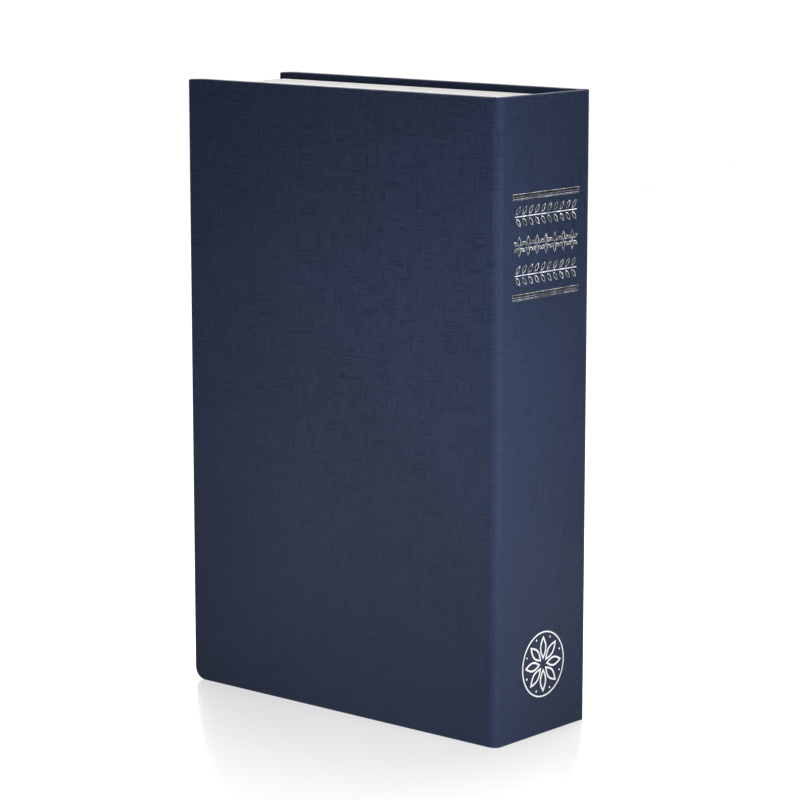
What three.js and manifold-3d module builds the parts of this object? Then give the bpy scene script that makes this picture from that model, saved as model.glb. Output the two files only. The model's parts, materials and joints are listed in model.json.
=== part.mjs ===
// A book diversion safe: a case-bound book whose page block is a plastic frame round a locking steel box.
// Millimetres. +Z runs up the spine, +X points to the spine and +Y to the front cover, which opens.
// The origin is on the surface that the book stands on, under the middle of its box.
import * as THREE from 'three';
import { mergeVertices } from 'three/addons/utils/BufferGeometryUtils.js';
import Module from 'manifold-3d';

// Bound case
const BOOK_HEIGHT = 240;
const BOOK_WIDTH = 155;
const BOOK_THICKNESS = 55;
const COVER_BOARD = 2.2;
const SPINE_BOARD = 2.2;
const WRAP = 0.35; // covering material
const ENDPAPER = 0.2;
const TURN_IN = 15; // covering folded over onto the inside of a board
const ENDPAPER_INSET = 4; // from the head, tail and fore edges of a cover
const ENDPAPER_FROM_JOINT = 1;
const JOINT_ON_COVER = 3.6; // a cover board stops this far short of the spine's outer face
const JOINT_ON_SPINE = 3; // the spine board stops this far short of a cover's outer face
const TAIL_CORNER_RADIUS = 5;
const HEAD_CORNER_RADIUS = 1.5;
const SQUARE = 3; // the covers stand this far beyond the pages

// Page frame
const PAGE_WALL = 2;
const PAGE_BACK = 2;
const RIM_WIDTH = 10;
const RIM_THICKNESS = 2.5;
const PAGE_LINES = 13;
const PAGE_LINE_WIDTH = 0.6;
const PAGE_LINE_DEPTH = 0.4;
const BOSS_HEIGHT = 2.4;
const BOSS_WALL = 1.95;
const BOSS_FLOOR = 0.6; // material left under a pilot hole

// Steel tray
const TRAY_STEEL = 0.8;
const TRAY_CLEARANCE = 0.5; // between the tray and the window of the page frame
const TRAY_FLANGE = 7; // return flange at the mouth, measured from the tray's outside
const TRAY_SCREW_INSET = 12;

// Steel lid and its hinge
const LID_STEEL = 0.8;
const LID_SEAT = 0.3; // gap between the shut lid and the flange
const LID_FOLD = 4;
const LID_FOLD_CLEARANCE = 1;
const LID_OVERLAP = 2.85; // lid over the flange on the hinge side
const HINGE_FROM_CORNER = 16.5; // hinge's ends to the tray's head and tail
const HINGE_KNUCKLES = 9; // odd, so that the tray's leaf has both ends
const BARREL_WALL = 0.45;
const BARREL_CLEARANCE = 0.1;
const PIN_RADIUS = 0.6;
const PIN_HEAD_BORDER = 0.6;
const PIN_HEAD = 0.6;
const LEAF = 0.6; // hinge leaf thickness
const LEAF_EDGE_INSET = 0.5;
const RIVET_RADIUS = 1.25;
const RIVET_HEAD_BORDER = 0.95;
const RIVET_HEAD = 0.6;
const RIVET_RIM = 0.2; // straight edge of a rivet's head, below its crown
const RIVET_CROWN_INSET = 0.65;
const RIVET_TAIL_BORDER = 0.65;
const RIVET_TAIL = 0.5;
const RIVET_MARGIN = 0.45; // rivet head to the swept barrel
const RIVET_EDGE = 1; // rivet head to the tray's outside
const RIVET_TAIL_CLEARANCE = 0.8; // lid rivets to the edge of the hinge flange
const RIVETS = 3;
const RIVET_FROM_END = 20; // outer rivets to the hinge's ends

// Cam lock
const LOCK_FROM_FOLD = 2.2; // nut to the lid's fold
const LOCK_FACE_BORDER = 2; // lock's face beyond its housing
const LOCK_FACE = 1.3;
const LOCK_FACE_CHAMFER = 0.5;
const HOUSING_WALL = 2;
const PLUG_RADIUS = 5;
const PLUG_HEAD_BORDER = 0.6;
const PLUG_HEAD = 1.2;
const PLUG_RECESS = 0.2; // plug below the lock's face
const PLUG_SOLID_END = 4.05; // behind the keyway
const WAFERS = 5;
const WAFER_WIDTH = 4.4;
const WAFER_THICKNESS = 0.7;
const WAFER_END_GAP = 0.1; // wafer's corners inside the plug's surface
const WAFER_SIDE = 1.1; // metal beside a wafer's window
const WAFER_BAR = 1.6; // metal above and below it
const WAFER_WEB = 0.65; // plug between two wafer slots
const WAFER_START = 2; // first wafer behind the lid's front face
const WAFER_TRAVEL = 0.9; // depth of the grooves that the wafers drop into
const KEYWAY_WIDTH = 1.6;
const KEYWAY_WALL = 1.5; // plug above and below the keyway
const KEYWAY_WARD = 0.6;
const KEYWAY_WARD_HEIGHT = 1.6;
const KEYWAY_PAST_WAFERS = 0.6;
const NUT_WALL = 2.5; // across the flats, beyond the housing
const NUT_SIDES = 6;
const NUT_THICKNESS = 3;
const LOCK_WASHER_BORDER = 3;
const LOCK_WASHER = 0.6;
const CAM_THICKNESS = 1.5;
const CAM_BORDER = 1.5; // cam beside its square hole
const CAM_TIP_FROM_WALL = 4; // locked cam's tip to the tray's outside
const TAIL_SQUARE = 5;
const TAIL_SHORT = 0.1; // the square tail stops this short of the cam's back
const CAM_WASHER_BORDER = 1.7; // beyond the screw's head
const CAM_WASHER = 0.5;
const CAM_SCREW_LENGTH = 4.4;
const STRIKE_STEEL = 1.5;
const STRIKE_GAP = 0.5; // locked cam to the strike's lip
const STRIKE_LIP = 7;
const STRIKE_LEG = 9;
const STRIKE_LENGTH = 28;

// Screws of the tray and the cam
const SCREW_RADIUS = 1.25;
const SCREW_HEAD_BORDER = 1.4;
const SCREW_HEAD = 1.5;
const SCREW_CHAMFER = 0.7;
const SCREW_END_GAP = 0.95; // screw's tip to the bottom of its pilot hole
const SCREW_SLOT = 0.6;
const SCREW_SLOT_DEPTH = 0.7;
const WASHER_BORDER = 0.8;
const WASHER = 0.6;

// Clearances
const GLUE_LINE = 0.05; // glued and clamped faces
const RUNNING_GAP = 0.3; // pins, shanks and turning pieces in their holes
const COVER_REST = 0.15; // shut front cover to the page frame
const HARDWARE_CLEARANCE = 0.55; // shut front cover to the hinge barrel
const CUT_PAST = 1; // cutters run this far past a face

// Facets
const ROUND = 32;
const SMALL_ROUND = 20;
const CORNER_STEPS = 6;

// Finishes
const NAVY_PAPER = { color: 0x2b3148, roughness: 0.6, metalness: 0 };
const GREY_BOARD = { color: 0x8a8378, roughness: 0.9, metalness: 0 };
const WHITE_PAPER = { color: 0xeeeae0, roughness: 0.85, metalness: 0 };
const WHITE_PLASTIC = { color: 0xf0efea, roughness: 0.55, metalness: 0 };
const BLACK_STEEL = { color: 0x1b1c1f, roughness: 0.5, metalness: 0.3 };
const PLATED_STEEL = { color: 0xb8babd, roughness: 0.3, metalness: 0.9 };
const CHROME = { color: 0xd6d8db, roughness: 0.15, metalness: 1 };
const BRASS = { color: 0xc2a04a, roughness: 0.35, metalness: 0.9 };

// Planes of the case
const foreEdge = -BOOK_WIDTH / 2;
const spineFace = BOOK_WIDTH / 2;
const backFace = -BOOK_THICKNESS / 2;
const frontFace = BOOK_THICKNESS / 2;
const coverThickness = COVER_BOARD + 2 * (WRAP + GLUE_LINE);
const spineThickness = SPINE_BOARD + 2 * (WRAP + GLUE_LINE);
const backInner = backFace + coverThickness;
const frontInner = frontFace - coverThickness;
const spineInner = spineFace - spineThickness;
const jointX = spineFace - JOINT_ON_COVER;
const jointY = frontFace - JOINT_ON_SPINE;
const paperStack = GLUE_LINE + ENDPAPER;

// Planes of the page frame
const pageFore = foreEdge + SQUARE;
const pageSpine = spineInner - GLUE_LINE;
const pageTail = SQUARE;
const pageHead = BOOK_HEIGHT - SQUARE;
const pageBack = backInner + paperStack + GLUE_LINE;
const pageFront = frontInner - paperStack - COVER_REST;
const pageFloor = pageBack + PAGE_BACK;

// Planes of the tray and the lid
const trayFore = pageFore + RIM_WIDTH + TRAY_CLEARANCE;
const traySpine = pageSpine - RIM_WIDTH - TRAY_CLEARANCE;
const trayTail = pageTail + RIM_WIDTH + TRAY_CLEARANCE;
const trayHead = pageHead - RIM_WIDTH - TRAY_CLEARANCE;
const trayMiddle = (trayTail + trayHead) / 2;
const trayBack = pageFloor + BOSS_HEIGHT + GLUE_LINE;
const trayFloor = trayBack + TRAY_STEEL;
const boreRadius = PIN_RADIUS + RUNNING_GAP;
const barrelRadius = boreRadius + BARREL_WALL;
const barrelSweep = barrelRadius + RUNNING_GAP;
const trayMouth = frontInner - paperStack - HARDWARE_CLEARANCE - 2 * barrelRadius - BARREL_CLEARANCE;
const rivetHole = RIVET_RADIUS + RUNNING_GAP;
const rivetHead = RIVET_RADIUS + RIVET_HEAD_BORDER;
const rivetTail = RIVET_RADIUS + RIVET_TAIL_BORDER;
const trayRivetX = traySpine - RIVET_EDGE - rivetHead;
const hingeX = trayRivetX - rivetHead - RIVET_MARGIN - barrelSweep;
const lidSpine = hingeX - barrelSweep;
const mouthFore = trayFore + TRAY_FLANGE;
const mouthSpine = lidSpine - LID_OVERLAP;
const mouthTail = trayTail + TRAY_FLANGE;
const mouthHead = trayHead - TRAY_FLANGE;
const lidBack = trayMouth + LID_SEAT;
const lidFront = lidBack + LID_STEEL;

// Hinge of the lid, and the rivets on both leaves
const hingeY = trayMouth + BARREL_CLEARANCE + barrelRadius;
const hingeTail = trayTail + HINGE_FROM_CORNER;
const hingeHead = trayHead - HINGE_FROM_CORNER;
const lidRivetX = mouthSpine - RIVET_TAIL_CLEARANCE - rivetTail;
const trayLeafY = trayMouth + GLUE_LINE;
const lidLeafY = lidFront + GLUE_LINE;
const rivetSpacing = (hingeHead - hingeTail - 2 * RIVET_FROM_END) / (RIVETS - 1);
const rivetHeights = Array.from({ length: RIVETS }, (_, i) => (
  hingeTail + RIVET_FROM_END + i * rivetSpacing
));

// Depths in the lock, counted from the lid's front face towards the inside
const housingRadius = PLUG_RADIUS + HOUSING_WALL;
const housingHole = housingRadius + RUNNING_GAP;
const plugBore = PLUG_RADIUS + RUNNING_GAP;
const plugHead = PLUG_RADIUS + PLUG_HEAD_BORDER;
const nutCorner = (housingRadius + NUT_WALL) / Math.cos(Math.PI / NUT_SIDES);
const lockInset = TRAY_FLANGE + LID_FOLD_CLEARANCE + LID_STEEL + LOCK_FROM_FOLD + nutCorner;
const lockX = trayFore + lockInset;
const waferSlot = WAFER_THICKNESS + 2 * RUNNING_GAP;
const waferHeight = 2 * Math.sqrt((PLUG_RADIUS - WAFER_END_GAP) ** 2 - (WAFER_WIDTH / 2) ** 2);
const waferDepths = Array.from({ length: WAFERS }, (_, i) => WAFER_START + i * (waferSlot + WAFER_WEB));
const keywayEnd = waferDepths.at(-1) + waferSlot / 2 + KEYWAY_PAST_WAFERS;
const plugEnd = keywayEnd + PLUG_SOLID_END;
const housingEnd = plugEnd - RUNNING_GAP;
const camFrontDepth = plugEnd + GLUE_LINE;
const camBackDepth = camFrontDepth + CAM_THICKNESS;
const camWasherDepth = camBackDepth + GLUE_LINE;
const camScrewDepth = camWasherDepth + CAM_WASHER + GLUE_LINE;
const camReach = lockInset - CAM_TIP_FROM_WALL;

// Screws
const screwPilot = SCREW_RADIUS + RUNNING_GAP;
const screwHead = SCREW_RADIUS + SCREW_HEAD_BORDER;
const screwSeat = WASHER + 2 * GLUE_LINE;
const screwLength = trayFloor + screwSeat - pageBack - BOSS_FLOOR - SCREW_END_GAP;

const screwPlaces = [trayFore + TRAY_SCREW_INSET, traySpine - TRAY_SCREW_INSET].flatMap((x) => (
  [trayTail + TRAY_SCREW_INSET, trayHead - TRAY_SCREW_INSET].map((z) => [x, z])
));

const wasm = await Module();
wasm.setup();

function toSolid(geometry) {
  const bare = geometry.clone();
  bare.deleteAttribute('normal');
  bare.deleteAttribute('uv');
  const merged = mergeVertices(bare);
  return new wasm.Manifold(new wasm.Mesh({
    numProp: 3,
    vertProperties: Float32Array.from(merged.attributes.position.array),
    triVerts: Uint32Array.from(merged.index.array),
  }));
}

function toGeometry(solid) {
  const mesh = solid.getMesh();
  const geometry = new THREE.BufferGeometry();
  geometry.setAttribute('position', new THREE.BufferAttribute(mesh.vertProperties, 3));
  geometry.setIndex(new THREE.BufferAttribute(mesh.triVerts, 1));
  geometry.computeVertexNormals();
  return geometry;
}

function join(...pieces) {
  return toGeometry(pieces.map(toSolid).reduce((all, piece) => all.add(piece)));
}

function cut(base, ...cutters) {
  return toGeometry(cutters.reduce((left, cutter) => left.subtract(toSolid(cutter)), toSolid(base)));
}

function overlap(one, other) {
  return toGeometry(toSolid(one).intersect(toSolid(other)));
}

// A box between two opposite corners
function box(low, high) {
  const size = high.map((value, i) => value - low[i]);
  const middle = high.map((value, i) => (value + low[i]) / 2);
  return new THREE.BoxGeometry(...size).translate(...middle);
}

// An outline in X and Y, extruded along Z
function prism(points, low, high) {
  const shape = new THREE.Shape(points.map(([x, y]) => new THREE.Vector2(x, y)));
  const geometry = new THREE.ExtrudeGeometry(shape, { depth: high - low, bevelEnabled: false });
  return geometry.translate(0, 0, low);
}

// An outline in X and Z, extruded along Y between two planes in either order
function plate(shape, planeA, planeB) {
  const depth = Math.abs(planeA - planeB);
  const options = { depth, bevelEnabled: false, curveSegments: CORNER_STEPS };
  const geometry = new THREE.ExtrudeGeometry(shape, options);
  return geometry.rotateX(Math.PI / 2).translate(0, Math.max(planeA, planeB), 0);
}

// A round bar along Y
function barY(radius, x, z, low, high, sides = SMALL_ROUND) {
  const geometry = new THREE.CylinderGeometry(radius, radius, high - low, sides);
  return geometry.translate(x, (low + high) / 2, z);
}

// A round bar along Z
function barZ(radius, x, y, low, high, sides = SMALL_ROUND) {
  const geometry = new THREE.CylinderGeometry(radius, radius, high - low, sides);
  return geometry.rotateX(Math.PI / 2).translate(x, y, (low + high) / 2);
}

// A body turned about Y, from [radius, y] points that start and end on the axis or close on themselves
function turned(points, sides = SMALL_ROUND) {
  return new THREE.LatheGeometry(points.map(([radius, y]) => new THREE.Vector2(radius, y)), sides);
}

// A ring about Y between two heights
function ring(inner, outer, low, high, sides = ROUND) {
  return turned([[inner, low], [outer, low], [outer, high], [inner, high], [inner, low]], sides);
}

function piece(name, geometry, finish) {
  const mesh = new THREE.Mesh(geometry, new THREE.MeshStandardMaterial(finish));
  mesh.name = name;
  return mesh;
}

function group(...children) {
  return new THREE.Group().add(...children);
}

// Outline of a cover seen along Y, drawn in by inset except at the joint
function coverOutline(inset, jointSide) {
  const left = foreEdge + inset;
  const low = inset;
  const high = BOOK_HEIGHT - inset;
  const tail = Math.max(TAIL_CORNER_RADIUS - inset, WRAP);
  const head = Math.max(HEAD_CORNER_RADIUS - inset, WRAP);
  const shape = new THREE.Shape();
  shape.moveTo(jointSide, low);
  shape.lineTo(jointSide, high);
  shape.lineTo(left + head, high);
  shape.absarc(left + head, high - head, head, Math.PI / 2, Math.PI, false);
  shape.lineTo(left, low + tail);
  shape.absarc(left + tail, low + tail, tail, Math.PI, 1.5 * Math.PI, false);
  return shape;
}

// The covering's quarter turn between a cover and the spine, drawn in by inset. side is 1 at the front
function jointArc(side, inset) {
  return Array.from({ length: CORNER_STEPS + 1 }, (_, i) => {
    const turn = (i / CORNER_STEPS) * (Math.PI / 2);
    const x = jointX + (JOINT_ON_COVER - inset) * Math.sin(turn);
    const y = side * (jointY + (JOINT_ON_SPINE - inset) * Math.cos(turn));
    return [x, y];
  });
}

// The open corner between the ends of the back board and the spine board
function backHollow(inset, low, high) {
  const points = [
    [jointX - GLUE_LINE, backFace + inset],
    ...jointArc(-1, inset),
    [spineInner, -jointY],
    [spineInner, backInner + CUT_PAST],
    [jointX - GLUE_LINE, backInner + CUT_PAST],
  ];
  return prism(points, low, high);
}

function wrapBackAndSpine() {
  const section = [
    [foreEdge, backFace],
    ...jointArc(-1, 0),
    [spineFace, jointY],
    [spineInner, jointY],
    [spineInner, backInner],
    [foreEdge, backInner],
  ];
  const block = overlap(
    prism(section, 0, BOOK_HEIGHT),
    plate(coverOutline(0, spineFace + CUT_PAST), backFace - CUT_PAST, frontFace),
  );
  const backPocket = plate(coverOutline(WRAP, jointX), backFace + WRAP, backInner - WRAP);
  const spinePocket = box(
    [spineInner + WRAP, -jointY - GLUE_LINE, WRAP],
    [spineFace - WRAP, jointY + CUT_PAST, BOOK_HEIGHT - WRAP],
  );
  const backWindow = box(
    [foreEdge + TURN_IN, backInner - coverThickness / 2, TURN_IN],
    [jointX, backInner + CUT_PAST, BOOK_HEIGHT - TURN_IN],
  );
  const spineWindow = box(
    [spineInner - CUT_PAST, -jointY - GLUE_LINE, TURN_IN],
    [spineInner + spineThickness / 2, jointY + CUT_PAST, BOOK_HEIGHT - TURN_IN],
  );
  const hollow = backHollow(2 * WRAP, -CUT_PAST, BOOK_HEIGHT + CUT_PAST);
  const thinHollow = backHollow(WRAP, TURN_IN, BOOK_HEIGHT - TURN_IN);
  const geometry = cut(block, hollow, thinHollow, backPocket, spinePocket, backWindow, spineWindow);
  return piece('wrap_back_and_spine', geometry, NAVY_PAPER);
}

function wrapFront() {
  const slab = plate(coverOutline(0, jointX), frontInner, frontFace);
  const pocket = plate(coverOutline(WRAP, jointX + CUT_PAST), frontInner + WRAP, frontFace - WRAP);
  const window = box(
    [foreEdge + TURN_IN, frontInner - CUT_PAST, TURN_IN],
    [jointX + CUT_PAST, frontFace - coverThickness / 2, BOOK_HEIGHT - TURN_IN],
  );
  return piece('wrap_front', cut(slab, pocket, window), NAVY_PAPER);
}

function wrapFrontJoint() {
  const band = (near, far) => [...jointArc(1, near), ...jointArc(1, far).reverse()];
  const strip = overlap(
    prism(band(0, 2 * WRAP), 0, BOOK_HEIGHT),
    box([jointX + GLUE_LINE, jointY + GLUE_LINE, 0], [spineFace, frontFace, BOOK_HEIGHT]),
  );
  const single = prism(band(WRAP, 2 * WRAP + RUNNING_GAP), TURN_IN, BOOK_HEIGHT - TURN_IN);
  return piece('wrap_front_joint', cut(strip, single), NAVY_PAPER);
}

function coverBoard(name, side) {
  const inset = WRAP + GLUE_LINE;
  const outer = frontFace - inset;
  const outline = coverOutline(inset, jointX);
  return piece(name, plate(outline, side * outer, side * (outer - COVER_BOARD)), GREY_BOARD);
}

function spineBoard() {
  const inset = WRAP + GLUE_LINE;
  const geometry = box(
    [spineInner + inset, -jointY, inset],
    [spineFace - inset, jointY, BOOK_HEIGHT - inset],
  );
  return piece('spine_board', geometry, GREY_BOARD);
}

function endpaper(name, side) {
  const outline = coverOutline(ENDPAPER_INSET, jointX - ENDPAPER_FROM_JOINT);
  const outer = frontInner - GLUE_LINE;
  return piece(name, plate(outline, side * outer, side * (outer - ENDPAPER)), WHITE_PAPER);
}

// One line between two pages, round the head, fore edge and tail
function pageLine(y) {
  const band = box(
    [pageFore - CUT_PAST, y - PAGE_LINE_WIDTH / 2, pageTail - CUT_PAST],
    [pageSpine + CUT_PAST, y + PAGE_LINE_WIDTH / 2, pageHead + CUT_PAST],
  );
  const core = box(
    [pageFore + PAGE_LINE_DEPTH, y - PAGE_LINE_WIDTH, pageTail + PAGE_LINE_DEPTH],
    [pageSpine + 2 * CUT_PAST, y + PAGE_LINE_WIDTH, pageHead - PAGE_LINE_DEPTH],
  );
  return cut(band, core);
}

function pageFrame() {
  const block = box([pageFore, pageBack, pageTail], [pageSpine, pageFront, pageHead]);
  const cavity = box(
    [pageFore + PAGE_WALL, pageFloor, pageTail + PAGE_WALL],
    [pageSpine - PAGE_WALL, pageFront - RIM_THICKNESS, pageHead - PAGE_WALL],
  );
  const window = box(
    [pageFore + RIM_WIDTH, pageFloor + PAGE_BACK, pageTail + RIM_WIDTH],
    [pageSpine - RIM_WIDTH, pageFront + CUT_PAST, pageHead - RIM_WIDTH],
  );
  const bossTop = pageFloor + BOSS_HEIGHT;
  const boss = ([x, z]) => barY(screwPilot + BOSS_WALL, x, z, pageFloor - PAGE_BACK / 2, bossTop);
  const pilot = ([x, z]) => barY(screwPilot, x, z, pageBack + BOSS_FLOOR, bossTop + CUT_PAST);
  const pitch = (pageFront - pageBack) / (PAGE_LINES + 1);
  const lines = Array.from({ length: PAGE_LINES }, (_, i) => pageLine(pageBack + (i + 1) * pitch));
  const shell = cut(block, cavity, window, ...lines);
  const geometry = cut(join(shell, ...screwPlaces.map(boss)), ...screwPlaces.map(pilot));
  return piece('page_frame', geometry, WHITE_PLASTIC);
}

function boxTray() {
  const block = box([trayFore, trayBack, trayTail], [traySpine, trayMouth, trayHead]);
  const cavity = box(
    [trayFore + TRAY_STEEL, trayFloor, trayTail + TRAY_STEEL],
    [traySpine - TRAY_STEEL, trayMouth - TRAY_STEEL, trayHead - TRAY_STEEL],
  );
  const mouth = box(
    [mouthFore, trayFloor + TRAY_STEEL, mouthTail],
    [mouthSpine, trayMouth + CUT_PAST, mouthHead],
  );
  const screwHole = ([x, z]) => barY(screwPilot, x, z, trayBack - CUT_PAST, trayFloor + CUT_PAST);
  const flangeBack = trayMouth - TRAY_STEEL;
  const rivet = (z) => barY(rivetHole, trayRivetX, z, flangeBack - CUT_PAST, trayMouth + CUT_PAST);
  const holes = [...screwPlaces.map(screwHole), ...rivetHeights.map(rivet)];
  return piece('box_tray', cut(block, cavity, mouth, ...holes), BLACK_STEEL);
}

function strikePlate() {
  const wall = trayFore + TRAY_STEEL + GLUE_LINE;
  const lipBack = lidFront - camFrontDepth + STRIKE_GAP;
  const tail = trayMiddle - STRIKE_LENGTH / 2;
  const head = trayMiddle + STRIKE_LENGTH / 2;
  const lip = box([wall, lipBack, tail], [wall + STRIKE_LIP, lipBack + STRIKE_STEEL, head]);
  const leg = box([wall, lipBack, tail], [wall + STRIKE_STEEL, lipBack + STRIKE_LEG, head]);
  return piece('strike_plate', join(lip, leg), PLATED_STEEL);
}

// A slotted screw along Y, with its head on the plane at 0 and its shank below
function slottedScrew(length) {
  const body = turned([
    [0, -length],
    [SCREW_RADIUS, -length],
    [SCREW_RADIUS, 0],
    [screwHead, 0],
    [screwHead, SCREW_HEAD - SCREW_CHAMFER],
    [screwHead - SCREW_CHAMFER, SCREW_HEAD],
    [0, SCREW_HEAD],
  ]);
  const slot = box(
    [-screwHead - CUT_PAST, SCREW_HEAD - SCREW_SLOT_DEPTH, -SCREW_SLOT / 2],
    [screwHead + CUT_PAST, SCREW_HEAD + CUT_PAST, SCREW_SLOT / 2],
  );
  return cut(body, slot);
}

// A screw with its washer, driven into a boss from inside the tray
function trayFastener([x, z], number) {
  const geometry = slottedScrew(screwLength).translate(0, screwSeat, 0);
  const screw = piece(`tray_screw_${number}`, geometry, PLATED_STEEL);
  const rim = screwHead + WASHER_BORDER;
  const washerRing = ring(screwPilot, rim, GLUE_LINE, GLUE_LINE + WASHER, SMALL_ROUND);
  const washer = piece(`tray_washer_${number}`, washerRing, PLATED_STEEL);
  const fastener = group(screw, washer);
  fastener.position.set(x, trayFloor, z);
  return fastener;
}

// Knuckles along the hinge: the even ones are the tray's, the odd ones the lid's
function knuckleSpan(i) {
  const length = (hingeHead - hingeTail) / HINGE_KNUCKLES;
  const low = hingeTail + i * length;
  return [low + RUNNING_GAP / 2, low + length - RUNNING_GAP / 2];
}

// A leaf with knuckles at every second place from first, and cleared at the others
function hingeLeaf({ name, first, side, leafY, outerX, rivetX }) {
  const tail = knuckleSpan(0)[0];
  const head = knuckleSpan(HINGE_KNUCKLES - 1)[1];
  const innerX = hingeX + side * barrelSweep;
  const between = (xA, xB, yA, yB, zA, zB) => box(
    [Math.min(xA, xB), Math.min(yA, yB), zA],
    [Math.max(xA, xB), Math.max(yA, yB), zB],
  );
  const leaf = between(innerX, outerX, leafY, leafY + LEAF, tail, head);
  const knuckles = Array.from({ length: HINGE_KNUCKLES }, (_, i) => i)
    .filter((i) => i % 2 === first)
    .flatMap((i) => {
      const [low, high] = knuckleSpan(i);
      const neck = between(hingeX, innerX + side * LEAF, leafY, leafY + LEAF, low, high);
      const curl = between(hingeX, hingeX + side * barrelRadius, leafY, hingeY, low, high);
      return [barZ(barrelRadius, hingeX, hingeY, low, high), neck, curl];
    });
  const bore = barZ(boreRadius, hingeX, hingeY, tail - CUT_PAST, head + CUT_PAST);
  const leafFront = leafY + LEAF;
  const holes = rivetHeights.map((z) => barY(rivetHole, rivetX, z, leafY - CUT_PAST, leafFront + CUT_PAST));
  return piece(name, cut(join(leaf, ...knuckles), bore, ...holes), PLATED_STEEL);
}

function hingePin() {
  const end = (hingeHead - hingeTail) / 2 + RUNNING_GAP;
  const rim = PIN_RADIUS + PIN_HEAD_BORDER;
  const geometry = turned([
    [0, -end - PIN_HEAD],
    [rim, -end - PIN_HEAD],
    [rim, -end],
    [PIN_RADIUS, -end],
    [PIN_RADIUS, end],
    [rim, end],
    [rim, end + PIN_HEAD],
    [0, end + PIN_HEAD],
  ]);
  const pin = piece('hinge_pin', geometry, PLATED_STEEL);
  pin.rotation.x = Math.PI / 2;
  pin.position.set(hingeX, hingeY, trayMiddle);
  return pin;
}

// A rivet along Y through a stack of the given thickness, from its back face up
function hingeRivet(name, x, z, back, stack) {
  const tailTop = -GLUE_LINE;
  const headBottom = stack + GLUE_LINE;
  const top = headBottom + RIVET_HEAD;
  const geometry = turned([
    [0, tailTop - RIVET_TAIL],
    [rivetTail, tailTop - RIVET_TAIL],
    [rivetTail, tailTop],
    [RIVET_RADIUS, tailTop],
    [RIVET_RADIUS, headBottom],
    [rivetHead, headBottom],
    [rivetHead, headBottom + RIVET_RIM],
    [rivetHead - RIVET_CROWN_INSET, top],
    [0, top],
  ]);
  const rivet = piece(name, geometry, PLATED_STEEL);
  rivet.position.set(x, back, z);
  return rivet;
}

function hinge() {
  const trayLeaf = hingeLeaf({
    name: 'hinge_leaf_tray',
    first: 0,
    side: 1,
    leafY: trayLeafY,
    outerX: traySpine - LEAF_EDGE_INSET,
    rivetX: trayRivetX,
  });
  const lidLeaf = hingeLeaf({
    name: 'hinge_leaf_lid',
    first: 1,
    side: -1,
    leafY: lidLeafY,
    outerX: lidRivetX - rivetHead - LEAF_EDGE_INSET,
    rivetX: lidRivetX,
  });
  const trayStack = TRAY_STEEL + GLUE_LINE + LEAF;
  const lidStack = LID_STEEL + GLUE_LINE + LEAF;
  const rivets = rivetHeights.flatMap((z, i) => [
    hingeRivet(`hinge_rivet_tray_${i + 1}`, trayRivetX, z, trayMouth - TRAY_STEEL, trayStack),
    hingeRivet(`hinge_rivet_lid_${i + 1}`, lidRivetX, z, lidBack, lidStack),
  ]);
  return group(trayLeaf, lidLeaf, hingePin(), ...rivets);
}

function boxLid() {
  const sheet = box([trayFore, lidBack, trayTail], [lidSpine, lidFront, trayHead]);
  const foldBack = lidBack - LID_FOLD;
  const foldFront = lidBack + LID_STEEL / 2;
  const fore = mouthFore + LID_FOLD_CLEARANCE;
  const tail = mouthTail + LID_FOLD_CLEARANCE;
  const head = mouthHead - LID_FOLD_CLEARANCE;
  const spine = lidRivetX - rivetHead;
  const folds = [
    box([fore, foldBack, tail], [fore + LID_STEEL, foldFront, head]),
    box([fore, foldBack, tail], [spine, foldFront, tail + LID_STEEL]),
    box([fore, foldBack, head - LID_STEEL], [spine, foldFront, head]),
  ];
  const hole = (radius, x, z, sides) => barY(radius, x, z, lidBack - CUT_PAST, lidFront + CUT_PAST, sides);
  const lockHole = hole(housingHole, lockX, trayMiddle, ROUND);
  const rivetHoles = rivetHeights.map((z) => hole(rivetHole, lidRivetX, z, SMALL_ROUND));
  return piece('box_lid', cut(join(sheet, ...folds), lockHole, ...rivetHoles), BLACK_STEEL);
}

// The lock's pieces stand about their own origin, in the lid's front face, with the inside at -Y
function lockHousing() {
  const face = GLUE_LINE + LOCK_FACE;
  const rim = housingRadius + LOCK_FACE_BORDER;
  const headBore = plugHead + RUNNING_GAP;
  const headFloor = face - PLUG_RECESS - PLUG_HEAD - RUNNING_GAP;
  const body = turned([
    [plugBore, -housingEnd],
    [housingRadius, -housingEnd],
    [housingRadius, GLUE_LINE],
    [rim, GLUE_LINE],
    [rim, face - LOCK_FACE_CHAMFER],
    [rim - LOCK_FACE_CHAMFER, face],
    [headBore, face],
    [headBore, headFloor],
    [plugBore, headFloor],
    [plugBore, -housingEnd],
  ], ROUND);
  const grooveX = WAFER_WIDTH / 2 + RUNNING_GAP;
  const grooveZ = plugBore + WAFER_TRAVEL;
  const grooves = box(
    [-grooveX, -housingEnd - CUT_PAST, -grooveZ],
    [grooveX, headFloor - LID_STEEL, grooveZ],
  );
  return piece('lock_housing', cut(body, grooves), CHROME);
}

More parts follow.
